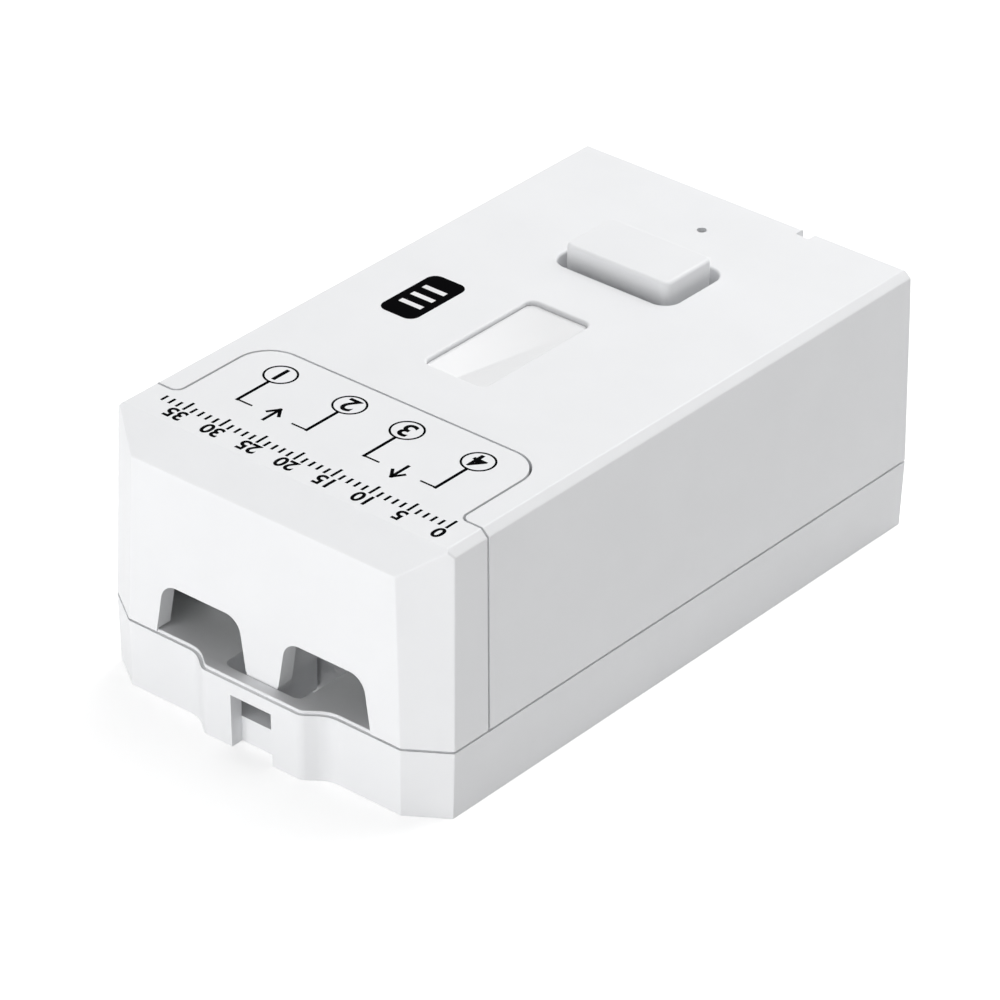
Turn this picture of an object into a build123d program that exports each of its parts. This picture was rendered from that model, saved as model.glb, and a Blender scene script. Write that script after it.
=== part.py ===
from build123d import *
from math import hypot, radians, tan
import os

# In-line radio receiver: a drafted two-part case with a lift-off terminal cover.
# Millimetres, +Z up, cable end towards -Y. The pieces are drawn with y = 0 on the front face
# and moved at the end, so that the origin lies in the middle of the underside.

# Case
case_width = 46.0
case_length = 79.0
case_height = 31.4
seam_z = 7.95
wall = 2.0
roof = 2.0
floor_thickness = 2.0
cover_draft = 1.3
base_draft = 1.8
corner_x = 4.55
corner_y = 3.1
brow_run = 3.2
brow_drop = 3.4
top_chamfer = 0.83
edge_radius = 0.3
back_corner_radius = 0.4
seam_gap = 0.3
ledge = 0.4
lip_gap = 0.15
lip_rise = 0.35
lip_radius = 0.1

# Central bulge of the base, with the latch channel in it
bulge = 1.85
bulge_half = 6.65
bulge_angle = 38.0
bulge_radius = 1.6
bulge_foot_radius = 3.4
channel_width = 5.5
channel_height = 6.4
channel_back = -0.06

# Terminal cover
skirt_length = 8.4
tongue_width = 37.7
tongue_reach = 21.9
tongue_radius = 4.0
notch_radius = 1.0
support_width = 1.0
support_thickness = 1.2
tongue_rib_height = 2.5
tongue_rib_thickness = 1.0
tongue_rib_inset = 1.5
tongue_rib_end = 1.2
divider_thickness = 1.8
divider_foot_z = 4.2
divider_back_gap = 0.6

# Cable entries and the pocket between them
entry_pitch = 16.7
entry_width = 12.5
entry_height = 6.55
entry_slope = 0.165
entry_radius = 2.1
pocket_width = 10.6
pocket_front = -0.12
pocket_back = 8.0
pocket_floor_z = 3.0
pocket_radius = 1.1
latch_width = 3.2
latch_front = 0.35
latch_thickness = 1.2
latch_foot_gap = 1.9
latch_nose_reach = 0.85
latch_nose_height = 0.75
latch_nose_ramp = 0.4
latch_catch_gap = 0.15

# Cable shelf and cord grips
shelf_back = 12.6
grip_y = 10.2
grip_screw_spacing = 10.0
grip_boss_radius = 2.3
grip_boss_height = 1.2
grip_bar_length = 13.6
grip_bar_width = 3.6
grip_bar_thickness = 2.4
grip_bar_corner = 0.9
grip_bar_groove = 0.9
grip_groove_corner = 0.45
grip_screw_radius = 1.25
grip_screw_depth = 6.0
grip_screw_hole_depth = 7.0
grip_head_radius = 2.3
grip_head_height = 1.7
running_clearance = 0.05
slide_gap = 0.1

# Power board and what is on it
board_z = 4.8
board_thickness = 1.6
board_side_gap = 0.4
board_front = 13.2
board_back_gap = 0.5
board_pad_radius = 2.0
board_screw_inset = 5.0
board_screw_back_gap = 18.5
board_screw_radius = 1.0
board_screw_length = 5.2
board_head_radius = 1.8
board_head_height = 1.3

# Terminal blocks
pole_y = 17.9
pole_pitch = 9.4
block_gap = 0.3
block_width = 16.8
block_front = 13.4
block_depth = 9.0
block_floor = 1.8
block_top_plate = 3.2
block_chamfer = 0.8
terminal_screw_radius = 1.5
terminal_head_radius = 2.35
terminal_head_height = 1.75
terminal_seat = 1.0
cage_width = 5.8
cage_depth = 5.0
cage_bar = 1.2
cage_nut = 1.6
cage_opening = 5.2
cage_travel = 3.4
cage_wall = 0.8
cage_gap = 0.2
contact_width = 3.4
contact_thickness = 0.8
wire_window_width = 4.8
wire_window_height = 3.4

# Cross recess of every screw, its length as a share of the head's diameter
cross_width = 0.7
cross_share = 0.75

# Case screws
case_screw_inset = 5.4
case_screw_front_y = 29.2
case_screw_back_gap = 6.5
case_screw_radius = 1.45
case_screw_length = 14.0
case_screw_hole_spare = 1.0
case_head_radius = 2.8
case_head_height = 2.0
case_head_recess = 2.6
cover_boss_radius = 3.0
base_boss_radius = 4.1

# Wall between the wiring space and the boards
partition_y = 23.2
partition_thickness = 1.5
partition_gap = 0.5

# Push button
button_back_gap = 18.9
button_length = 13.9
button_width = 7.9
button_rise = 2.05
button_radius = 0.8
button_edge = 0.4
button_travel = 0.5
well_length = 16.0
well_width = 10.1
well_radius = 2.0
well_depth = 4.0
well_wall = 1.2
flange_overlap = 0.7
flange_thickness = 1.1
flange_gap = 0.3

# Window and pinhole
window_front_gap = 7.7
window_back_gap = 7.9
window_width = 8.2
window_radius = 1.0
window_depth = 0.5
window_gap = 0.08
window_flange = 1.0
window_flange_thickness = 1.0
pinhole_back_gap = 7.9
pinhole_radius = 0.55
guide_radius = 1.1
guide_collar = 1.0
guide_collar_height = 3.0
guide_gap = 0.3
notch_x = 9.0
notch_width = 1.7
notch_depth = 1.9
notch_height = 1.6
notch_backing = 1.2

# Radio board under the top
radio_board_depth = 7.1
radio_board_thickness = 1.0
radio_board_width = 25.4
radio_board_front = 26.2
radio_board_back_gap = 2.8
radio_screw_x = 10.5
radio_screw_front_y = 28.6
radio_screw_back_gap = 5.2
radio_boss_radius = 1.9
radio_screw_radius = 0.9
radio_screw_length = 5.0
radio_head_radius = 1.6
radio_head_height = 1.1
switch_size = 5.2
switch_height = 1.5
switch_floor = 0.3
switch_corner = 0.5
plunger_radius = 1.3
plunger_rise = 0.9
plunger_gap = 0.05
module_front = 33.0
module_back_gap = 7.9
module_width = 13.2
module_thickness = 0.8
antenna_length = 4.2
shield_margin = 0.8
shield_height = 1.6
shield_edge = 0.4
led_length = 1.6
led_width = 1.2
led_height = 0.8
header_back_gap = 12.5
header_pins = 6
header_pitch = 2.54
header_pin = 0.64
header_body = 2.5

# Parts on the power board
relay_width = 15.5
relay_back_gap = 6.3
relay_top_gap = 0.5
relay_front = 33.8
relay_inner_x = -3.0
relay_corner = 0.8
relay_top_edge = 0.4
module_gap = 2.0
power_module_width = 20.0
power_module_back_gap = 2.5
power_module_top_gap = 1.0
power_module_edge = 0.6
fuse_x = -6.55
fuse_radius = 1.9
fuse_glass_radius = 1.7
fuse_length = 9.0
fuse_cap = 1.6
fuse_lift = 1.0
clip_thickness = 0.8
clip_width = 2.4
disc_x = 6.55
disc_setback = 1.0
disc_radius = 4.6
disc_thickness = 3.8
disc_edge = 1.2
disc_lift = 2.0
disc_lead_radius = 0.6
disc_lead_spacing = 5.0
film_x = -7.1
film_setback = 2.0
film_width = 13.0
film_depth = 6.0
film_height = 11.2
film_edge = 0.5
can_x = 8.5
can_setback = 1.0
can_radius = 4.0
can_height = 11.0
can_edge = 0.6
crimp_z = 1.6
crimp_width = 0.6
crimp_depth = 0.3

# How far joined solids reach into each other and cutting solids past a face,
# and how close a corner lies to a line that picks it
weld = 1.0
near = 0.01

# Sizes that follow
half_width = case_width / 2
roof_z = case_height - roof
shelf_z = seam_z + lip_rise
cover_z = seam_z + seam_gap
board_top = board_z + board_thickness
tongue_half = tongue_width / 2
middle_y = (case_length - bulge) / 2
button_y = case_length - button_back_gap
radio_z = case_height - radio_board_depth - roof
radio_top = radio_z + radio_board_thickness
pinhole_y = case_length - pinhole_back_gap
case_screw_x = half_width - case_screw_inset
case_screw_places = [(x, y) for y in (case_screw_front_y, case_length - case_screw_back_gap)
                     for x in (-case_screw_x, case_screw_x)]
radio_screw_places = [(x, y) for y in (radio_screw_front_y, case_length - radio_screw_back_gap)
                      for x in (-radio_screw_x, radio_screw_x)]
board_screw_x = half_width - board_screw_inset
board_screw_y = case_length - board_screw_back_gap
block_pitch = block_width + block_gap
window_front = tongue_reach + window_front_gap
window_back = button_y - well_width / 2 - window_back_gap
window_y = (window_front + window_back) / 2
window_length = window_back - window_front
module_length = button_y - switch_size / 2 - module_back_gap - module_front
film_y = button_y + film_setback
can_y = button_y + can_setback
header_y = case_length - header_back_gap
header_pin_places = [(i - (header_pins - 1) / 2) * header_pitch for i in range(header_pins)]
case_screw_hole = case_screw_radius + running_clearance
board_screw_hole = board_screw_radius + running_clearance
radio_screw_hole = radio_screw_radius + running_clearance
grip_screw_hole = grip_screw_radius + running_clearance
terminal_screw_hole = terminal_screw_radius + running_clearance
grip_top = shelf_z + grip_boss_height
grip_places = [(side * entry_pitch / 2 + step * grip_screw_spacing / 2, grip_y)
               for side in (-1, 1) for step in (-1, 1)]
pole_places = [side * block_pitch / 2 + step * pole_pitch / 2 for side in (-1, 1) for step in (-1, 1)]


def block(x0, x1, y0, y1, z0, z1):
    """Box between two corners."""
    return Pos((x0 + x1) / 2, (y0 + y1) / 2, (z0 + z1) / 2) * Box(x1 - x0, y1 - y0, z1 - z0)


def rod(x, y, z0, z1, radius):
    """Upright cylinder."""
    return Pos(x, y, (z0 + z1) / 2) * Cylinder(radius, z1 - z0)


def prism(plan, z0, z1):
    """Plan drawn at z = 0, raised from z0 to z1."""
    return extrude(Pos(0, 0, z0) * plan, z1 - z0)


def rounded(x, y, width, length, radius, z0, z1):
    """Upright prism with rounded corners."""
    return prism(Pos(x, y) * RectangleRounded(width, length, radius), z0, z1)


def corners(plan, test):
    """Corners of a plan that pass a test of their place."""
    return [v for v in plan.vertices() if test(v.X, v.Y)]


# Case outlines

def case_plan(inset=0.0, ahead=0.0):
    """Plan of the covers at the parting line, each side moved in by inset, and the corner
    chamfers carried on to a front that lies further ahead."""
    x = half_width
    cut = corner_x * (1 + ahead / corner_y)
    plan = make_face(Polyline((-x, corner_y), (-x + cut, -ahead), (x - cut, -ahead), (x, corner_y),
                              (x, case_length), (-x, case_length), close=True))
    plan = fillet(corners(plan, lambda px, py: py > case_length - near), back_corner_radius)
    return offset(plan, -inset, kind=Kind.INTERSECTION) if inset else plan


def base_plan(inset=0.0):
    """Plan of the base at the parting line, with the bulge in front."""
    x = half_width
    foot = bulge_half + bulge / tan(radians(bulge_angle))
    plan = make_face(Polyline((-x, corner_y), (-x + corner_x, 0), (-foot, 0), (-bulge_half, -bulge),
                              (bulge_half, -bulge), (foot, 0), (x - corner_x, 0), (x, corner_y),
                              (x, case_length), (-x, case_length), close=True))
    plan = fillet(corners(plan, lambda px, py: py < -bulge / 2), bulge_radius)
    plan = fillet(corners(plan, lambda px, py: abs(abs(px) - foot) < near), bulge_foot_radius)
    front = corners(plan, lambda px, py: abs(px) > x - corner_x - near and py < case_length / 2)
    plan = fillet(front, edge_radius)
    plan = fillet(corners(plan, lambda px, py: py > case_length - near), back_corner_radius)
    return offset(plan, -inset, kind=Kind.INTERSECTION) if inset else plan


def brow_wedge(shift):
    """All that lies in front of the sloping brow, whose face is moved in by shift."""
    length = hypot(brow_run, brow_drop)
    back, up = brow_run / length, brow_drop / length
    far = case_height
    foot_y = shift * up - far * back
    foot_z = case_height - brow_drop - shift * back - far * up
    head_y = brow_run + shift * up + far * back
    head_z = case_height - shift * back + far * up
    side = Plane.YZ * make_face(Polyline((foot_y, foot_z), (head_y, head_z), (foot_y, head_z), close=True))
    return extrude(side, case_width, both=True)


def cover_block(inset, top_z):
    """Block of both covers, moved in by inset: upright in front and drafted elsewhere."""
    body = extrude(Pos(0, 0, seam_z) * case_plan(inset, weld), top_z - seam_z, taper=cover_draft)
    body = body - block(-case_width, case_width, -case_length, inset, 0, 2 * case_height)
    return body - brow_wedge(inset)


def front_edges(body):
    """Edges around the front face, its corner chamfers and the brow."""
    return [e for e in body.edges() if e.center().Z > seam_z + near
            and e.center().Y < brow_run + edge_radius and e.length > 2 * edge_radius]


def chamfer_edges(body):
    """Long edges of the chamfers along both sides of the top."""
    low = case_height - 2 * top_chamfer
    return [e for e in body.edges() if e.center().Z > low and e.length > case_length / 2]


def cover_shell():
    """Hollow shell that the two covers are cut from."""
    body = cover_block(0, case_height)
    top_edges = [e for e in body.edges().filter_by(Axis.Y) if e.center().Z > roof_z]
    body = chamfer(top_edges, top_chamfer)
    body = fillet(front_edges(body) + chamfer_edges(body), edge_radius)
    body = body - cover_block(wall, roof_z)
    body = body - block(-case_width, case_width, -case_length, 2 * case_length, 0, cover_z)
    return body - prism(base_plan(ledge - lip_gap), 0, shelf_z + seam_gap)


def front_zone(gap):
    """Plan area of the terminal cover, with its seam moved outwards by gap."""
    far = 2 * case_width
    plan = make_face(Polyline((-far, -far), (far, -far), (far, skirt_length), (tongue_half, skirt_length),
                              (tongue_half, tongue_reach), (-tongue_half, tongue_reach),
                              (-tongue_half, skirt_length), (-far, skirt_length), close=True))
    plan = fillet(corners(plan, lambda px, py: py > tongue_reach - near), tongue_radius)
    inner = corners(plan, lambda px, py: abs(px) < case_width and abs(py - skirt_length) < near)
    plan = fillet(inner, notch_radius)
    return offset(plan, gap, kind=Kind.INTERSECTION)


# Base

def base_tray():
    body = extrude(Pos(0, 0, seam_z) * base_plan(), amount=-seam_z, taper=base_draft)
    lip = prism(base_plan(ledge), seam_z - weld, shelf_z)
    lip = fillet(lip.edges().group_by(Axis.Z)[-1], lip_radius)
    cavity = prism(case_plan(wall), floor_thickness, 2 * shelf_z)
    cavity = cavity & block(-case_width, case_width, shelf_back, case_length, 0, 2 * shelf_z)
    body = body + lip - cavity
    for x, y in case_screw_places:
        body = body + (rod(x, y, floor_thickness / 2, seam_z, base_boss_radius) & cavity)
    for x in (-board_screw_x, board_screw_x):
        body = body + (rod(x, board_screw_y, floor_thickness / 2, board_z, board_pad_radius) & cavity)
        body = body - rod(x, board_screw_y, floor_thickness / 2, 2 * board_z, board_screw_hole)
    for x in (-block_pitch / 2, 0, block_pitch / 2):
        for y in (pole_y, case_length - case_screw_back_gap):
            body = body + rod(x, y, floor_thickness / 2, board_z, board_pad_radius)
    body = body - rounded(0, (pocket_front + pocket_back) / 2, pocket_width, pocket_back - pocket_front,
                          pocket_radius, pocket_floor_z, 2 * shelf_z)
    body = body - block(-channel_width / 2, channel_width / 2, -2 * bulge, channel_back,
                        -weld, channel_height)
    for x, y in grip_places:
        body = body + rod(x, y, seam_z - weld, grip_top, grip_boss_radius)
        body = body - rod(x, y, grip_top - grip_screw_hole_depth, 2 * grip_top, grip_screw_hole)
    for x, y in case_screw_places:
        body = body - rod(x, y, -weld, 2 * seam_z, case_screw_hole)
        body = body - rod(x, y, -weld, case_head_recess, case_head_radius + slide_gap)
    return body


# Covers

def rim(body, y, width, length):
    """Edges of the top around an opening that is centred on y."""
    return [e for e in body.edges() if e.center().Z > case_height - near
            and abs(e.center().X) < width / 2 + near and abs(e.center().Y - y) < length / 2 + near]


def main_cover():
    body = cover_shell() - prism(front_zone(seam_gap / 2), 0, 2 * case_height)
    inside = cover_block(wall / 2, roof_z + roof / 2)
    support_low = roof_z - support_thickness - seam_gap
    support = prism(front_zone(wall) - front_zone(-support_width), support_low, roof_z)
    support = support - prism(front_zone(seam_gap / 2), roof_z - seam_gap, case_height)
    reach_half = tongue_half + wall
    reach = block(-reach_half, reach_half, skirt_length + seam_gap / 2, partition_y + wall / 2,
                  0, case_height)
    body = body + (support & reach & inside)
    clear_half = half_width - wall - seam_gap
    partition_back = partition_y + partition_thickness
    for half, low in ((half_width, shelf_z + seam_gap), (clear_half, board_top + partition_gap)):
        partition = block(-half, half, partition_y, partition_back, low, roof_z + roof / 2)
        body = body + (partition & inside if half > clear_half else partition - brow_wedge(0))
    for x, y in case_screw_places:
        body = body + (rod(x, y, seam_z, roof_z + roof / 2, cover_boss_radius) & inside)
        hole_top = case_head_recess + case_screw_length + case_screw_hole_spare
        body = body - rod(x, y, 0, hole_top, case_screw_hole)
    for x, y in radio_screw_places:
        body = body + rod(x, y, radio_top, roof_z + roof / 2, radio_boss_radius)
        body = body - rod(x, y, 0, roof_z, radio_screw_hole)
    collar_bottom = case_height - well_depth
    body = body + rounded(0, button_y, well_length + 2 * well_wall, well_width + 2 * well_wall,
                          well_radius + well_wall, collar_bottom, roof_z + roof / 2)
    body = body - rounded(0, button_y, well_length, well_width, well_radius, 0, 2 * case_height)
    body = body - rounded(0, window_y, window_width, window_length, window_radius, 0, 2 * case_height)
    rims = rim(body, button_y, well_length, well_width) + rim(body, window_y, window_width, window_length)
    body = fillet(rims, edge_radius)
    collar_low = roof_z - guide_collar_height
    body = body + rod(0, pinhole_y, collar_low, roof_z + roof / 2, guide_radius + guide_collar)
    body = body - rod(0, pinhole_y, 0, roof_z, guide_radius + running_clearance)
    body = body - rod(0, pinhole_y, 0, 2 * case_height, pinhole_radius)
    backing = block(notch_x - notch_width, notch_x + notch_width, case_length - wall - notch_backing,
                    case_length - wall / 2, roof_z - notch_height - notch_backing, roof_z + roof / 2)
    body = body + (backing & inside)
    return body - block(notch_x - notch_width / 2, notch_x + notch_width / 2, case_length - notch_depth,
                        2 * case_length, case_height - notch_height, 2 * case_height)


def entry_cut(x):
    """Tapered cable entry with rounded upper corners, cut through the front wall."""
    foot = entry_width / 2 + entry_slope * weld
    head = entry_width / 2 - entry_slope * entry_height
    face = make_face(Polyline((-foot, -weld), (foot, -weld), (head, entry_height), (-head, entry_height),
                              close=True))
    face = fillet(corners(face, lambda px, py: py > 0), entry_radius)
    side = Plane((x, 0, seam_z), x_dir=(1, 0, 0), z_dir=(0, -1, 0)) * face
    return extrude(side, 1.5 * wall, both=True)


def terminal_cover():
    body = cover_shell() & prism(front_zone(-seam_gap / 2), 0, 2 * case_height)
    inside = cover_block(wall / 2, roof_z + roof / 2)
    for side in (-1, 1):
        body = body - entry_cut(side * entry_pitch / 2)
    post_half = entry_pitch / 2 - entry_width / 2
    body = body + block(-post_half, post_half, 0, wall, seam_z, shelf_z + 2 * seam_gap)
    divider = block(-divider_thickness / 2, divider_thickness / 2, wall / 2, block_front - block_gap,
                    shelf_z + seam_gap, roof_z + roof / 2)
    divider_foot = block(-divider_thickness / 2, divider_thickness / 2, wall, pocket_back - divider_back_gap,
                         divider_foot_z, 2 * shelf_z)
    body = body + (divider & inside) + divider_foot
    for side in (-1, 1):
        x = side * (tongue_half - tongue_rib_inset - tongue_rib_thickness / 2)
        rib = block(x - tongue_rib_thickness / 2, x + tongue_rib_thickness / 2, wall / 2,
                    tongue_reach - tongue_rib_end - tongue_radius / 2, roof_z - tongue_rib_height,
                    roof_z + roof / 2)
        body = body + (rib & inside)
    return body


def terminal_cover_latch():
    """Tongue under the central post, whose nose catches below the edge of the release window."""
    top = channel_height - latch_catch_gap
    tip = latch_front - latch_nose_reach
    heel = top - latch_nose_height
    foot = pocket_floor_z + latch_foot_gap
    back = latch_front + latch_thickness
    outline = Polyline((latch_front, seam_z), (back, seam_z), (back, foot), (latch_front, foot),
                       (latch_front, heel - latch_nose_ramp), (tip, heel), (tip, top),
                       (latch_front, top), close=True)
    return extrude(Plane.YZ * make_face(outline), latch_width / 2, both=True)


# Screws

def screw(x, y, seat_z, way, shank_radius, shank_length, head_radius, head_height):
    """Cross-slotted screw, its head seated at seat_z and its shank running down, or up with way = -1."""
    head_z = seat_z + way * head_height
    body = rod(x, y, min(seat_z, head_z), max(seat_z, head_z), head_radius)
    tip_z = seat_z - way * shank_length
    body = body + rod(x, y, min(seat_z, tip_z), max(seat_z, tip_z), shank_radius)
    cut_z = head_z - way * head_height / 2
    cross_length = cross_share * 2 * head_radius
    for long_x, long_y in ((cross_length, cross_width), (cross_width, cross_length)):
        body = body - block(x - long_x / 2, x + long_x / 2, y - long_y / 2, y + long_y / 2,
                            min(cut_z, head_z + way), max(cut_z, head_z + way))
    return body


def case_screws():
    return [screw(x, y, case_head_recess, -1, case_screw_radius, case_screw_length,
                  case_head_radius, case_head_height) for x, y in case_screw_places]


def power_board_screws():
    return [screw(x, board_screw_y, board_top, 1, board_screw_radius, board_screw_length,
                  board_head_radius, board_head_height) for x in (-board_screw_x, board_screw_x)]


def radio_board_screws():
    return [screw(x, y, radio_z, -1, radio_screw_radius, radio_screw_length,
                  radio_head_radius, radio_head_height) for x, y in radio_screw_places]


def cord_screw(place):
    x, y = place
    return screw(x, y, grip_top + slide_gap + grip_bar_thickness, 1, grip_screw_radius, grip_screw_depth
                 + grip_bar_thickness, grip_head_radius, grip_head_height)


def cord_bar(side):
    """Clamp bar across one cable, grooved below and drilled for its two screws."""
    x = side * entry_pitch / 2
    low = grip_top + slide_gap
    body = block(x - grip_bar_length / 2, x + grip_bar_length / 2, grip_y - grip_bar_width / 2,
                 grip_y + grip_bar_width / 2, low, low + grip_bar_thickness)
    body = fillet(body.edges().filter_by(Axis.Z), grip_bar_corner)
    half = grip_screw_spacing / 2 - grip_boss_radius
    groove = block(x - half, x + half, grip_y - grip_bar_width, grip_y + grip_bar_width,
                   low - weld, low + grip_bar_groove)
    groove = fillet(groove.edges().filter_by(Axis.Y).group_by(Axis.Z)[-1], grip_groove_corner)
    body = body - groove
    for step in (-1, 1):
        body = body - rod(x + step * grip_screw_spacing / 2, grip_y, 0, 2 * low + grip_bar_thickness,
                          grip_screw_hole)
    return body


# Terminal blocks

cage_low = board_top + block_floor + cage_gap
cage_top = cage_low + cage_bar + cage_opening + cage_nut
shaft_top = cage_top + cage_travel + cage_gap
block_top = shaft_top + block_top_plate
contact_z = cage_low + cage_bar + cage_travel + cage_gap
terminal_seat_z = shaft_top + terminal_seat


def terminal_block(side):
    """Two-pole block: clamp shafts, screw holes from above and wire windows in front."""
    x = side * block_pitch / 2
    body = block(x - block_width / 2, x + block_width / 2, block_front, block_front + block_depth,
                 board_top, block_top)
    body = chamfer(body.edges().filter_by(Axis.X).group_by(Axis.Z)[-1], block_chamfer)
    half_x = cage_width / 2 + cage_gap
    half_y = cage_depth / 2 + cage_gap
    for step in (-1, 1):
        px = x + step * pole_pitch / 2
        body = body - block(px - half_x, px + half_x, pole_y - half_y, pole_y + half_y,
                            board_top + block_floor, shaft_top)
        body = body - rod(px, pole_y, board_top + block_floor, 2 * block_top,
                          terminal_screw_hole)
        body = body - rod(px, pole_y, terminal_seat_z, 2 * block_top, terminal_head_radius + slide_gap)
        window_z = cage_low + cage_bar
        body = body - block(px - wire_window_width / 2, px + wire_window_width / 2, 0, pole_y,
                            window_z, window_z + wire_window_height)
        strip_half = contact_width / 2 + running_clearance
        body = body - block(px - strip_half, px + strip_half, pole_y, block_front + block_depth + weld,
                            contact_z - running_clearance, contact_z + contact_thickness + running_clearance)
    return body


def contact_strip(px):
    """Flat contact through the clamp cage, bent down behind the block to the board."""
    half = contact_width / 2
    back = block_front + block_depth
    body = block(px - half, px + half, pole_y - cage_depth / 2, back + contact_thickness, contact_z,
                 contact_z + contact_thickness)
    body = body + block(px - half, px + half, back, back + contact_thickness, board_top, contact_z)
    return body


def terminal_screw(px):
    tip = contact_z + contact_thickness + slide_gap
    return screw(px, pole_y, terminal_seat_z, 1, terminal_screw_radius, terminal_seat_z - tip,
                 terminal_head_radius, terminal_head_height)


def clamp_cage(px):
    """Rising cage with a threaded top bar, shown at the bottom of its travel."""
    body = block(px - cage_width / 2, px + cage_width / 2, pole_y - cage_depth / 2, pole_y + cage_depth / 2,
                 cage_low, cage_top)
    body = body - block(px - cage_width / 2 + cage_wall, px + cage_width / 2 - cage_wall, 0, 2 * pole_y,
                        cage_low + cage_bar, cage_top - cage_nut)
    return body - rod(px, pole_y, cage_low + cage_bar, 2 * cage_top, terminal_screw_hole)


# Button, window and light

well_bottom = case_height - well_depth
flange_top = well_bottom - flange_gap
flange_low = flange_top - flange_thickness
plunger_top = radio_top + switch_height + plunger_rise


def button_cap():
    """Cap with rounded edges, a wide flange below the well and a short stem over the switch."""
    top = case_height + button_rise
    body = rounded(0, button_y, button_length, button_width, button_radius, flange_low, top)
    body = fillet(body.edges().group_by(Axis.Z)[-1], button_edge)
    body = body + rounded(0, button_y, well_length + 2 * flange_overlap, well_width + 2 * flange_overlap,
                          well_radius + flange_overlap, flange_low, flange_top)
    stem = rod(0, button_y, plunger_top + plunger_gap, flange_low + flange_thickness / 2, plunger_radius)
    return body + stem


def window_lens():
    """Lens glued into the top from inside, its face a little below the surface."""
    body = rounded(0, window_y, window_width - 2 * window_gap, window_length - 2 * window_gap,
                   window_radius - window_gap, roof_z - window_flange_thickness, case_height - window_depth)
    return body + rounded(0, window_y, window_width + 2 * window_flange, window_length + 2 * window_flange,
                          window_radius + window_flange, roof_z - window_flange_thickness, roof_z)


def light_guide():
    return rod(0, pinhole_y, radio_top + led_height + guide_gap, roof_z, guide_radius)


# Boards

def power_board():
    half = half_width - wall - board_side_gap
    body = block(-half, half, board_front, case_length - wall - board_back_gap, board_z, board_top)
    for x, y in case_screw_places:
        body = body - rod(x, y, 0, 2 * board_top, base_boss_radius + board_side_gap)
        low, high = sorted((x, half_width if x > 0 else -half_width))
        body = body - block(low, high, y - base_boss_radius - board_side_gap,
                            y + base_boss_radius + board_side_gap, 0, 2 * board_top)
    for x in (-board_screw_x, board_screw_x):
        body = body - rod(x, board_screw_y, 0, 2 * board_top, board_screw_hole)
    return body


def radio_board():
    half = radio_board_width / 2
    body = block(-half, half, radio_board_front, case_length - radio_board_back_gap, radio_z, radio_top)
    for x, y in radio_screw_places:
        body = body - rod(x, y, 0, case_height, radio_screw_hole)
    for pin_x in header_pin_places:
        hole = header_pin / 2 + running_clearance
        body = body - block(pin_x - hole, pin_x + hole, header_y - hole, header_y + hole, 0, case_height)
    return body


def board_header():
    """Long pins in a plastic strip, from the power board up through the radio board."""
    half = header_pins * header_pitch / 2
    body = block(-half, half, header_y - header_pitch / 2, header_y + header_pitch / 2,
                 board_top, board_top + header_body)
    for pin_x in header_pin_places:
        body = body + block(pin_x - header_pin / 2, pin_x + header_pin / 2, header_y - header_pin / 2,
                            header_y + header_pin / 2, board_top, radio_top + header_pin)
    return body


def tact_switch():
    half = switch_size / 2
    body = block(-half, half, button_y - half, button_y + half, radio_top, radio_top + switch_height)
    body = chamfer(body.edges().filter_by(Axis.Z), switch_corner)
    return body - rod(0, button_y, radio_top + switch_floor, case_height, plunger_radius + running_clearance)


def tact_plunger():
    low = radio_top + switch_floor + button_travel + slide_gap
    return rod(0, button_y, low, plunger_top, plunger_radius)


def radio_module():
    return block(-module_width / 2, module_width / 2, module_front, module_front + module_length,
                 radio_top, radio_top + module_thickness)


def radio_shield():
    half = module_width / 2 - shield_margin
    low = radio_top + module_thickness
    body = block(-half, half, module_front + shield_margin, module_front + module_length - antenna_length,
                 low, low + shield_height)
    return fillet(body.edges().filter_by(Axis.Z) + body.edges().group_by(Axis.Z)[-1], shield_edge)


def status_led():
    return block(-led_length / 2, led_length / 2, pinhole_y - led_width / 2, pinhole_y + led_width / 2,
                 radio_top, radio_top + led_height)


def relay():
    back = film_y - film_depth / 2 - relay_back_gap
    body = block(relay_inner_x - relay_width, relay_inner_x, relay_front, back, board_top,
                 radio_z - relay_top_gap)
    body = fillet(body.edges().filter_by(Axis.Z), relay_corner)
    return chamfer(body.edges().group_by(Axis.Z)[-1], relay_top_edge)


def power_module():
    x0 = relay_inner_x + module_gap
    body = block(x0, x0 + power_module_width, relay_front, can_y - can_radius - power_module_back_gap,
                 board_top, radio_z - power_module_top_gap)
    return chamfer(body.edges().filter_by(Axis.Z) + body.edges().group_by(Axis.Z)[-1], power_module_edge)


def fuse():
    """Cylindrical fuse lying across the board on two clips."""
    y = case_screw_front_y
    z = board_top + fuse_lift + fuse_radius
    body = Pos(fuse_x, y, z) * Rot(0, 90, 0) * Cylinder(fuse_glass_radius, fuse_length)
    for side in (-1, 1):
        cap_x = fuse_x + side * (fuse_length - fuse_cap) / 2
        body = body + Pos(cap_x, y, z) * Rot(0, 90, 0) * Cylinder(fuse_radius, fuse_cap)
        body = body + block(cap_x - clip_thickness / 2, cap_x + clip_thickness / 2, y - clip_width / 2,
                            y + clip_width / 2, board_top, z - fuse_radius / 2)
    return body


def varistor():
    """Disc standing on two leads."""
    y = case_screw_front_y + disc_setback
    z = board_top + disc_lift + disc_radius
    body = Pos(disc_x, y, z) * Rot(90, 0, 0) * Cylinder(disc_radius, disc_thickness)
    body = fillet(body.edges(), disc_edge)
    for side in (-1, 1):
        body = body + rod(disc_x + side * disc_lead_spacing / 2, y, board_top, z, disc_lead_radius)
    return body


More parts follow.
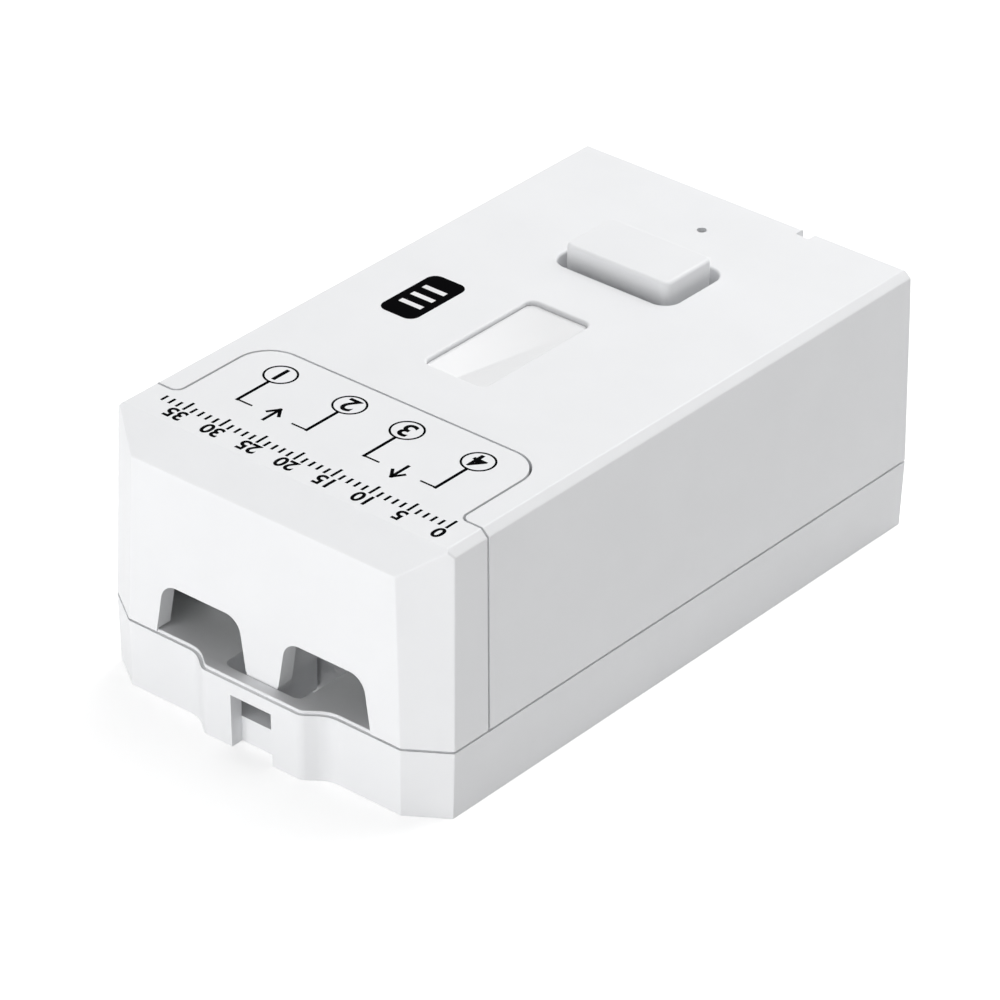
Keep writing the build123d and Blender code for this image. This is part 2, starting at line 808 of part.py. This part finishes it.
def film_capacitor():
    body = block(film_x - film_width / 2, film_x + film_width / 2, film_y - film_depth / 2,
                 film_y + film_depth / 2, board_top, board_top + film_height)
    return fillet(body.edges().filter_by(Axis.Z) + body.edges().group_by(Axis.Z)[-1], film_edge)


def smoothing_capacitor():
    """Upright can with the crimp groove near its foot."""
    body = rod(can_x, can_y, board_top, board_top + can_height, can_radius)
    body = fillet(body.edges().group_by(Axis.Z)[-1], can_edge)
    low = board_top + crimp_z
    groove = rod(can_x, can_y, low, low + crimp_width, 2 * can_radius)
    return body - (groove - rod(can_x, can_y, low, low + crimp_width, can_radius - crimp_depth))


pieces = {
    "base_tray": base_tray(),
    "main_cover": main_cover(),
    "terminal_cover": terminal_cover(),
    "terminal_cover_latch": terminal_cover_latch(),
    "button_cap": button_cap(),
    "window_lens": window_lens(),
    "light_guide": light_guide(),
    "case_screws": case_screws(),
    "power_board": power_board(),
    "power_board_screws": power_board_screws(),
    "terminal_block_in": terminal_block(-1),
    "terminal_block_out": terminal_block(1),
    "terminal_contacts": [contact_strip(px) for px in pole_places],
    "cord_bar_in": cord_bar(-1),
    "cord_bar_out": cord_bar(1),
    "relay": relay(),
    "power_module": power_module(),
    "fuse": fuse(),
    "varistor": varistor(),
    "film_capacitor": film_capacitor(),
    "smoothing_capacitor": smoothing_capacitor(),
    "board_header": board_header(),
    "radio_board": radio_board(),
    "radio_board_screws": radio_board_screws(),
    "radio_module": radio_module(),
    "radio_shield": radio_shield(),
    "tact_switch": tact_switch(),
    "tact_plunger": tact_plunger(),
    "status_led": status_led(),
}
for number, px in enumerate(pole_places, start=1):
    pieces["terminal_screw_%d" % number] = terminal_screw(px)
    pieces["clamp_cage_%d" % number] = clamp_cage(px)
for number, place in enumerate(grip_places, start=1):
    pieces["cord_screw_%d" % number] = cord_screw(place)

os.makedirs("parts", exist_ok=True)
for name, piece in pieces.items():
    solids = piece if isinstance(piece, list) else [piece]
    moved = Pos(0, -middle_y, 0) * Compound(children=[Pos(0, 0, 0) * s for s in solids])
    export_step(moved, "parts/%s.step" % name)
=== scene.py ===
from math import cos, pi, radians, sin

import bmesh
import bpy
from mathutils import Matrix, Vector


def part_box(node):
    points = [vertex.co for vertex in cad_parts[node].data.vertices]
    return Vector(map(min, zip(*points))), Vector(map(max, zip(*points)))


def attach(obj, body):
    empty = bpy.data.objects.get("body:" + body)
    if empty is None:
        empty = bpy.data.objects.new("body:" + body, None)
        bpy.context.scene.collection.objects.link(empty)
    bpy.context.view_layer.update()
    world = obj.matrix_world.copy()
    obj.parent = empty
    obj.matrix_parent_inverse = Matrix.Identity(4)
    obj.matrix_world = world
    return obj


# In-line radio receiver: finishes, printed marks, floor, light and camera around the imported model.
# Metres, in the model's own frame: +Z up, the cable end towards -Y.

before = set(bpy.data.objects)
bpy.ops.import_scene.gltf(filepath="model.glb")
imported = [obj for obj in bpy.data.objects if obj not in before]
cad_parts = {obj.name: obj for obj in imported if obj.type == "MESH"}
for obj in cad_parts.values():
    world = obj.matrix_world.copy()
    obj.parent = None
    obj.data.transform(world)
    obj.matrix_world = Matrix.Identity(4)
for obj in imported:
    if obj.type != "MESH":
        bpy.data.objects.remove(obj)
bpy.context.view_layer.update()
mm = 0.001

# Camera, at the photograph's angle
camera_azimuth = 39.317
camera_elevation = 31.151
camera_roll = 0.948
camera_place = Vector((316.94, -388.00, 315.06)) * mm
camera_lens = 199.6
camera_sensor = 36.0

# Light: strength of the room on surfaces, the floor's tone and its glow to the camera, and the card
# whose edge is mirrored in the window from glare_start to glare_end
room_light = 0.3
floor_tone = 0.75
floor_glow = 0.52
floor_size = 6.0
floor_drop = 0.02 * mm
glare_start = Vector((0.2, -8.4)) * mm
glare_end = Vector((2.8, 4.4)) * mm
glare_distance = 1.0
glare_size = 0.06
glare_high = 2.4
glare_low = 1.15

# Finishes: size of the blotches in a moulding's colour and gloss, share by which its roughness drifts,
# and how much longer than wide a metal's streaks are
plastic_index = 1.49
tint_patch = 9 * mm
gloss_patch = 4 * mm
gloss_share = 0.12
streak_ratio = 14
streak_depth = 0.004 * mm

# Printed marks on the top
terminals = 4
same_place = 0.0001 * mm
ink_rise = 0.015 * mm
ink_sink = 0.03 * mm
bold = 0.07 * mm
circle_radius = 1.9 * mm
circle_line = 0.24 * mm
lead_line = 0.38 * mm
lead_front_y = -27.3 * mm
lead_foot = 1.9 * mm
digit_size = 3.4 * mm
arrow_length = 2.6 * mm
arrow_head = 1.1 * mm
arrow_spread = 0.7
scale_y = -32.35 * mm
scale_half = 19.0 * mm
scale_step = 1.0 * mm
scale_long_every = 5
scale_short_tick = 0.75 * mm
scale_long_tick = 1.4 * mm
scale_line = 0.32 * mm
scale_digit = 2.5 * mm
scale_digit_drop = 1.3 * mm
patch_place = Vector((-12.9, 1.4)) * mm
patch_length = 9.4 * mm
patch_width = 4.9 * mm
patch_corner = 1.2 * mm
patch_bar_length = 2.3 * mm
patch_bar_width = 0.7 * mm
patch_bar_pitch = 1.9 * mm
arc_steps = 12


# Materials

def new_material(name):
    material = bpy.data.materials.new(name)
    material.use_nodes = True
    tree = material.node_tree
    return material, tree, tree.nodes["Principled BSDF"]


def add_node(tree, kind, settings=None, **inputs):
    """New shader node with its settings and its unlinked inputs set."""
    node = tree.nodes.new(kind)
    for key, value in (settings or {}).items():
        setattr(node, key, value)
    for key, value in inputs.items():
        node.inputs[key].default_value = value
    return node


def noise(tree, feature, detail=2.0, roughness=0.5):
    """Noise whose blotches are about feature metres across, fixed to the surface."""
    place = add_node(tree, "ShaderNodeTexCoord")
    texture = add_node(tree, "ShaderNodeTexNoise", Scale=1 / feature, Detail=detail, Roughness=roughness)
    tree.links.new(place.outputs["Object"], texture.inputs["Vector"])
    return texture


def tint(tree, shader, colour, spread, feature):
    """Colour that drifts a little lighter and darker over the surface."""
    texture = noise(tree, feature, detail=4.0)
    ramp = add_node(tree, "ShaderNodeValToRGB")
    ramp.color_ramp.elements[0].position = 0.3
    ramp.color_ramp.elements[1].position = 0.7
    ramp.color_ramp.elements[0].color = [c * (1 - spread) for c in colour] + [1]
    ramp.color_ramp.elements[1].color = [min(1, c * (1 + spread)) for c in colour] + [1]
    tree.links.new(texture.outputs["Fac"], ramp.inputs["Fac"])
    tree.links.new(ramp.outputs["Color"], shader.inputs["Base Color"])


def grain(tree, shader, feature, depth):
    """Fine relief of the mould."""
    texture = noise(tree, feature, detail=3.0, roughness=0.6)
    bump = add_node(tree, "ShaderNodeBump", Strength=1.0, Distance=depth)
    tree.links.new(texture.outputs["Fac"], bump.inputs["Height"])
    tree.links.new(bump.outputs["Normal"], shader.inputs["Normal"])


def rough_drift(tree, shader, low, high, feature):
    """Roughness between low and high in soft blotches."""
    texture = noise(tree, feature, detail=2.0)
    spread = add_node(tree, "ShaderNodeMapRange")
    spread.inputs["To Min"].default_value = low
    spread.inputs["To Max"].default_value = high
    tree.links.new(texture.outputs["Fac"], spread.inputs["Value"])
    tree.links.new(spread.outputs["Result"], shader.inputs["Roughness"])


def moulded(name, colour, rough, spread=0.012, relief=0.004 * mm, grain_size=0.22 * mm, coat=0.0):
    """Moulded plastic with a fine spark-eroded grain."""
    material, tree, shader = new_material(name)
    tint(tree, shader, colour, spread, tint_patch)
    rough_drift(tree, shader, rough * (1 - gloss_share), rough * (1 + gloss_share), gloss_patch)
    grain(tree, shader, grain_size, relief)
    shader.inputs["IOR"].default_value = plastic_index
    shader.inputs["Coat Weight"].default_value = coat
    shader.inputs["Coat Roughness"].default_value = 0.0
    return material


def metal(name, colour, rough, streak=0.06 * mm):
    """Plated or rolled metal with fine streaks along one way."""
    material, tree, shader = new_material(name)
    shader.inputs["Metallic"].default_value = 1.0
    tint(tree, shader, colour, 0.05, 1.5 * mm)
    rough_drift(tree, shader, rough * 0.7, rough * 1.3, 0.8 * mm)
    place = add_node(tree, "ShaderNodeTexCoord")
    stretch = add_node(tree, "ShaderNodeMapping", Scale=(1, streak_ratio, 1))
    texture = add_node(tree, "ShaderNodeTexNoise", Scale=1 / (streak_ratio * streak), Detail=3.0)
    bump = add_node(tree, "ShaderNodeBump", Strength=0.6, Distance=streak_depth)
    tree.links.new(place.outputs["Object"], stretch.inputs["Vector"])
    tree.links.new(stretch.outputs["Vector"], texture.inputs["Vector"])
    tree.links.new(texture.outputs["Fac"], bump.inputs["Height"])
    tree.links.new(bump.outputs["Normal"], shader.inputs["Normal"])
    return material


def circuit_board(name, colour, trace):
    """Solder mask over raised copper tracks, in rows of straight runs."""
    material, tree, shader = new_material(name)
    place = add_node(tree, "ShaderNodeTexCoord")
    bricks = add_node(tree, "ShaderNodeTexBrick", {"offset": 0.37, "squash": 1.8}, Scale=90.0)
    bricks.inputs["Mortar Size"].default_value = 0.03
    bricks.inputs["Color1"].default_value = colour + [1]
    bricks.inputs["Color2"].default_value = [c * 0.9 for c in colour] + [1]
    bricks.inputs["Mortar"].default_value = trace + [1]
    bump = add_node(tree, "ShaderNodeBump", Strength=0.5, Distance=0.03 * mm)
    tree.links.new(place.outputs["Object"], bricks.inputs["Vector"])
    tree.links.new(bricks.outputs["Color"], shader.inputs["Base Color"])
    tree.links.new(bricks.outputs["Fac"], bump.inputs["Height"])
    tree.links.new(bump.outputs["Normal"], shader.inputs["Normal"])
    rough_drift(tree, shader, 0.22, 0.34, 3 * mm)
    return material


def clear_plastic(name, colour, rough):
    """Clear moulding, a little cloudy."""
    material, tree, shader = new_material(name)
    tint(tree, shader, colour, 0.03, 1.5 * mm)
    rough_drift(tree, shader, rough * 0.7, rough * 1.3, 0.6 * mm)
    shader.inputs["Transmission Weight"].default_value = 0.7
    shader.inputs["IOR"].default_value = plastic_index
    return material


def printed(name, colour):
    """Matt printing ink."""
    material, tree, shader = new_material(name)
    tint(tree, shader, colour, 0.04, 2 * mm)
    rough_drift(tree, shader, 0.75, 0.85, 1 * mm)
    shader.inputs["Specular IOR Level"].default_value = 0.0
    return material


def dress(names, material):
    for name in names:
        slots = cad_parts[name].data.materials
        slots.clear()
        slots.append(material)


def numbered(stem):
    return ["%s_%d" % (stem, number) for number in range(1, terminals + 1)]


white = [0.855, 0.862, 0.875]
steel = metal("zinc_plated_steel", [0.62, 0.63, 0.65], 0.34)
ink = printed("black_ink", [0.004, 0.004, 0.0045])
paper_white = printed("white_ink", [0.87, 0.87, 0.875])
dress(["base_tray", "main_cover", "terminal_cover", "terminal_cover_latch"],
      moulded("housing_plastic", white, 0.42))
dress(["button_cap"], moulded("button_plastic", white, 0.36, relief=0.002 * mm))
dress(["window_lens"], moulded("lens_plastic", [0.8, 0.805, 0.815], 0.3, relief=0.0, coat=1.0))
# Painted shade: the light guide's near-black tint stands for the shade inside the pinhole, not for the
# guide's own colour
dress(["light_guide"], clear_plastic("light_guide_painted_shade", [0.02, 0.02, 0.02], 0.4))
dress(["case_screws", "power_board_screws", "radio_board_screws"] + numbered("terminal_screw")
      + numbered("cord_screw"), steel)
dress(numbered("clamp_cage"), metal("cage_steel", [0.58, 0.57, 0.54], 0.4))
dress(["terminal_contacts"], metal("contact_brass", [0.72, 0.53, 0.24], 0.3))
dress(["power_board", "radio_board"], circuit_board("green_board", [0.02, 0.12, 0.05], [0.05, 0.2, 0.09]))
dress(["radio_module"], circuit_board("dark_board", [0.01, 0.018, 0.05], [0.02, 0.04, 0.1]))
dress(["terminal_block_in", "terminal_block_out"], moulded("terminal_plastic", [0.05, 0.16, 0.07], 0.38))
dress(["cord_bar_in", "cord_bar_out"], moulded("grip_plastic", [0.7, 0.7, 0.7], 0.45))
dress(["relay"], moulded("relay_plastic", [0.02, 0.05, 0.2], 0.3))
dress(["power_module"], moulded("module_plastic", [0.02, 0.02, 0.022], 0.5))
dress(["fuse"], moulded("fuse_ceramic", [0.75, 0.72, 0.66], 0.25))
dress(["varistor"], moulded("varistor_coat", [0.02, 0.08, 0.32], 0.28))
dress(["film_capacitor"], moulded("film_case", [0.62, 0.38, 0.02], 0.3))
dress(["smoothing_capacitor"], moulded("can_sleeve", [0.015, 0.015, 0.03], 0.25))
dress(["board_header", "tact_switch", "tact_plunger"], moulded("black_plastic", [0.02, 0.02, 0.02], 0.42))
dress(["radio_shield"], metal("shield_tin", [0.66, 0.66, 0.65], 0.28))
dress(["status_led"], clear_plastic("led_plastic", [0.8, 0.78, 0.68], 0.15))


# Printed marks: thin closed prisms a little proud of the top

def prism(mesh, outline, z):
    """Closed prism over a convex or star-shaped outline of flat points."""
    top = [mesh.verts.new((x, y, z + ink_rise)) for x, y in outline]
    low = [mesh.verts.new((x, y, z - ink_sink)) for x, y in outline]
    mesh.faces.new(top)
    mesh.faces.new(reversed(low))
    for i in range(len(outline)):
        j = (i + 1) % len(outline)
        mesh.faces.new((low[i], low[j], top[j], top[i]))


def ring(mesh, centre, radius, line, z):
    """Closed flat ring."""
    count = 4 * arc_steps
    loops = []
    for r, height in ((radius, ink_rise), (radius - line, ink_rise), (radius - line, -ink_sink),
                      (radius, -ink_sink)):
        loops.append([mesh.verts.new((centre[0] + r * cos(2 * pi * i / count),
                                      centre[1] + r * sin(2 * pi * i / count), z + height))
                      for i in range(count)])
    for k in range(4):
        near, far = loops[k], loops[(k + 1) % 4]
        for i in range(count):
            j = (i + 1) % count
            mesh.faces.new((near[i], near[j], far[j], far[i]))


def stroke(mesh, start, end, line, z):
    """Straight line from one flat point to another, with square ends."""
    along = (Vector(end) - Vector(start)).normalized() * line / 2
    side = Vector((-along.y, along.x))
    start, end = Vector(start) - along, Vector(end) + along
    prism(mesh, [start - side, end - side, end + side, start + side], z)


def digit(mesh, text, centre, size, z, turn):
    """Plain number in the default face, turned about its middle."""
    curve = bpy.data.curves.new("digit_curve", "FONT")
    curve.body = text
    curve.size = size
    curve.offset = bold
    curve.extrude = (ink_rise + ink_sink) / 2
    curve.align_x = "CENTER"
    curve.align_y = "CENTER"
    holder = bpy.data.objects.new("digit_holder", curve)
    bpy.context.scene.collection.objects.link(holder)
    bpy.context.view_layer.update()
    shape = bpy.data.meshes.new_from_object(holder.evaluated_get(bpy.context.evaluated_depsgraph_get()))
    points = [v.co for v in shape.vertices]
    middle = Vector([(min(p[i] for p in points) + max(p[i] for p in points)) / 2 for i in range(3)])
    shape.transform(Matrix.Translation((centre[0], centre[1], z + (ink_rise - ink_sink) / 2))
                    @ Matrix.Rotation(turn, 4, "Z") @ Matrix.Translation(-middle))
    mesh.from_mesh(shape)
    bpy.data.objects.remove(holder)
    bpy.data.curves.remove(curve)
    bpy.data.meshes.remove(shape)


def finished(name, mesh, material, body):
    """Object made of the drawn mesh, riding on a body."""
    bmesh.ops.remove_doubles(mesh, verts=mesh.verts, dist=same_place)
    bmesh.ops.recalc_face_normals(mesh, faces=mesh.faces)
    data = bpy.data.meshes.new(name)
    mesh.to_mesh(data)
    mesh.free()
    data.materials.append(material)
    piece = bpy.data.objects.new(name, data)
    bpy.context.scene.collection.objects.link(piece)
    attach(piece, body)


def middle_of(node):
    low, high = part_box(node)
    return (low + high) / 2


top_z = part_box("main_cover")[1].z


def terminal_mark(number):
    """Circle with a plain number over one terminal, and its lead towards the cable."""
    centre = middle_of("terminal_screw_%d" % number)
    inward = 1 if number % 2 else -1
    mesh = bmesh.new()
    ring(mesh, centre, circle_radius, circle_line, top_z)
    digit(mesh, str(number), centre, digit_size, top_z, pi)
    corner = (centre.x, lead_front_y)
    stroke(mesh, (centre.x, centre.y - circle_radius), corner, lead_line, top_z)
    stroke(mesh, corner, (centre.x + inward * lead_foot, lead_front_y), circle_line, top_z)
    finished("terminal_mark_%d" % number, mesh, ink, "terminal_cover")


def flow_arrow(name, first, way):
    """Plain arrow between the two leads of a pair, into the case or out of it."""
    x = (middle_of("terminal_screw_%d" % first).x + middle_of("terminal_screw_%d" % (first + 1)).x) / 2
    tail = (x, lead_front_y - way * arrow_length / 2)
    tip = (x, lead_front_y + way * arrow_length / 2)
    mesh = bmesh.new()
    stroke(mesh, tail, tip, lead_line, top_z)
    for side in (-1, 1):
        barb = (x + side * arrow_head * arrow_spread, tip[1] - way * arrow_head)
        stroke(mesh, tip, barb, lead_line, top_z)
    finished(name, mesh, ink, "terminal_cover")


def strip_scale():
    """Row of ticks with plain numbers, for stripping wires to length."""
    mesh = bmesh.new()
    count = round(2 * scale_half / scale_step)
    for i in range(count + 1):
        x = scale_half - i * scale_step
        long_tick = i % scale_long_every == 0
        length = scale_long_tick if long_tick else scale_short_tick
        stroke(mesh, (x, scale_y), (x, scale_y + length), scale_line, top_z)
        if long_tick:
            digit(mesh, str(i), (x, scale_y - scale_digit_drop), scale_digit, top_z, pi)
    finished("strip_scale", mesh, ink, "terminal_cover")


def patch():
    """Plain dark patch with rounded corners and three short bars."""
    outline = []
    for quarter, (side, end) in enumerate(((1, 1), (-1, 1), (-1, -1), (1, -1))):
        x = side * (patch_width / 2 - patch_corner)
        y = end * (patch_length / 2 - patch_corner)
        for i in range(arc_steps + 1):
            a = (quarter + i / arc_steps) * pi / 2
            outline.append(patch_place + Vector((x + patch_corner * cos(a), y + patch_corner * sin(a))))
    mesh = bmesh.new()
    prism(mesh, outline, top_z)
    finished("dark_patch", mesh, ink, "root")
    mesh = bmesh.new()
    for i in (-1, 0, 1):
        middle = patch_place + Vector((0, i * patch_bar_pitch))
        half = Vector((patch_bar_length / 2, 0))
        stroke(mesh, middle - half, middle + half, patch_bar_width, top_z + ink_rise)
    finished("patch_bars", mesh, paper_white, "root")


for number in range(1, terminals + 1):
    terminal_mark(number)
flow_arrow("flow_arrow_in", 1, 1)
flow_arrow("flow_arrow_out", 3, -1)
strip_scale()
patch()


# Floor, light and camera

def seen_between(tree, low, high):
    """Strength high where the camera, a reflection or a clear piece looks at the backdrop, else low."""
    path = add_node(tree, "ShaderNodeLightPath")
    seen = path.outputs["Is Camera Ray"]
    for other in ("Is Glossy Ray", "Is Transmission Ray"):
        either = add_node(tree, "ShaderNodeMath", {"operation": "MAXIMUM"})
        tree.links.new(seen, either.inputs[0])
        tree.links.new(path.outputs[other], either.inputs[1])
        seen = either.outputs["Value"]
    strength = add_node(tree, "ShaderNodeMapRange")
    strength.inputs["To Min"].default_value = low
    strength.inputs["To Max"].default_value = high
    tree.links.new(seen, strength.inputs["Value"])
    return strength.outputs["Result"]


def floor():
    """Pale floor that shows white and keeps the soft shadow."""
    bpy.ops.mesh.primitive_plane_add(size=floor_size, location=(0, 0, -floor_drop))
    plane = bpy.context.active_object
    plane.name = "floor"
    material, tree, shader = new_material("floor_paint")
    shader.inputs["Base Color"].default_value = (floor_tone, floor_tone, floor_tone, 1)
    shader.inputs["Roughness"].default_value = 0.9
    shader.inputs["Specular IOR Level"].default_value = 0.0
    shader.inputs["Emission Color"].default_value = (1, 1, 1, 1)
    tree.links.new(seen_between(tree, 0.0, floor_glow), shader.inputs["Emission Strength"])
    plane.data.materials.append(material)


def softbox(name, azimuth, elevation, distance, width, height, power):
    """Area light that looks at the object from a direction, given as the camera's is."""
    a, e = radians(azimuth), radians(elevation)
    way = Vector((sin(a) * cos(e), -cos(a) * cos(e), sin(e)))
    light = bpy.data.lights.new(name, "AREA")
    light.shape = "RECTANGLE"
    light.size = width
    light.size_y = height
    light.energy = power
    holder = bpy.data.objects.new(name, light)
    bpy.context.scene.collection.objects.link(holder)
    holder.location = way * distance
    holder.rotation_euler = way.to_track_quat("Z", "Y").to_euler()


def glare_card():
    """Card behind the object that only reflections show, mirrored across the window, brighter at one end."""
    window_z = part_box("window_lens")[1].z
    eye = Vector((camera_place.x, camera_place.y, 2 * window_z - camera_place.z))
    ends = []
    for place in (glare_start, glare_end):
        point = Vector((place.x, place.y, window_z))
        ends.append(point + (point - eye).normalized() * glare_distance)
    along = (ends[1] - ends[0]).normalized()
    facing = (ends[0] - Vector((0, 0, window_z))).normalized()
    across = facing.cross(along).normalized()
    mesh = bmesh.new()
    corners = [ends[0] - along * glare_size, ends[0] + along * glare_size]
    corners += [c + across * glare_size for c in reversed(corners)]
    mesh.faces.new([mesh.verts.new(c) for c in corners])
    data = bpy.data.meshes.new("glare_card")
    mesh.to_mesh(data)
    mesh.free()
    card = bpy.data.objects.new("glare_card", data)
    bpy.context.scene.collection.objects.link(card)
    material, tree, shader = new_material("glare_card_glow")
    shader.inputs["Base Color"].default_value = (0, 0, 0, 1)
    shader.inputs["Emission Color"].default_value = (1, 1, 1, 1)
    place = add_node(tree, "ShaderNodeTexCoord")
    dot = add_node(tree, "ShaderNodeVectorMath", {"operation": "DOT_PRODUCT"})
    dot.inputs[1].default_value = along
    fade = add_node(tree, "ShaderNodeMapRange")
    fade.inputs["From Min"].default_value = along.dot(ends[0])
    fade.inputs["From Max"].default_value = along.dot(ends[1])
    fade.inputs["To Min"].default_value = glare_high
    fade.inputs["To Max"].default_value = glare_low
    path = add_node(tree, "ShaderNodeLightPath")
    mirrored = add_node(tree, "ShaderNodeMath", {"operation": "MULTIPLY"})
    tree.links.new(place.outputs["Object"], dot.inputs[0])
    tree.links.new(dot.outputs["Value"], fade.inputs["Value"])
    tree.links.new(fade.outputs["Result"], mirrored.inputs[0])
    tree.links.new(path.outputs["Is Glossy Ray"], mirrored.inputs[1])
    tree.links.new(mirrored.outputs["Value"], shader.inputs["Emission Strength"])
    data.materials.append(material)


def room():
    """White surroundings to the camera and in reflections, a dimmer even light on surfaces."""
    world = bpy.data.worlds.new("room")
    bpy.context.scene.world = world
    world.use_nodes = True
    tree = world.node_tree
    back = tree.nodes["Background"]
    back.inputs["Color"].default_value = (1, 1, 1, 1)
    tree.links.new(seen_between(tree, room_light, 1.0), back.inputs["Strength"])


def camera():
    a, e, roll = radians(camera_azimuth), radians(camera_elevation), radians(camera_roll)
    back = Vector((sin(a) * cos(e), -cos(a) * cos(e), sin(e)))
    level = Vector((cos(a), sin(a), 0))
    right = level * cos(roll) + back.cross(level) * sin(roll)
    up = back.cross(right)
    data = bpy.data.cameras.new("camera")
    data.lens = camera_lens
    data.sensor_width = camera_sensor
    data.clip_start = 0.01
    data.clip_end = 20.0
    holder = bpy.data.objects.new("camera", data)
    bpy.context.scene.collection.objects.link(holder)
    turn = Matrix((right, up, back)).transposed().to_4x4()
    holder.matrix_world = Matrix.Translation(camera_place) @ turn
    bpy.context.scene.camera = holder


floor()
room()
softbox("low_front_light", azimuth=-2, elevation=1.7, distance=0.5, width=0.6, height=0.028, power=1.15)
softbox("front_light", azimuth=-5, elevation=12, distance=0.9, width=0.6, height=0.6, power=1.5)
softbox("back_light", azimuth=168, elevation=40, distance=1.1, width=0.9, height=0.9, power=3.4)
softbox("high_back_light", azimuth=180, elevation=65, distance=1.1, width=0.9, height=0.9, power=7.4)
glare_card()
camera()
bpy.context.scene.view_settings.view_transform = "Standard"
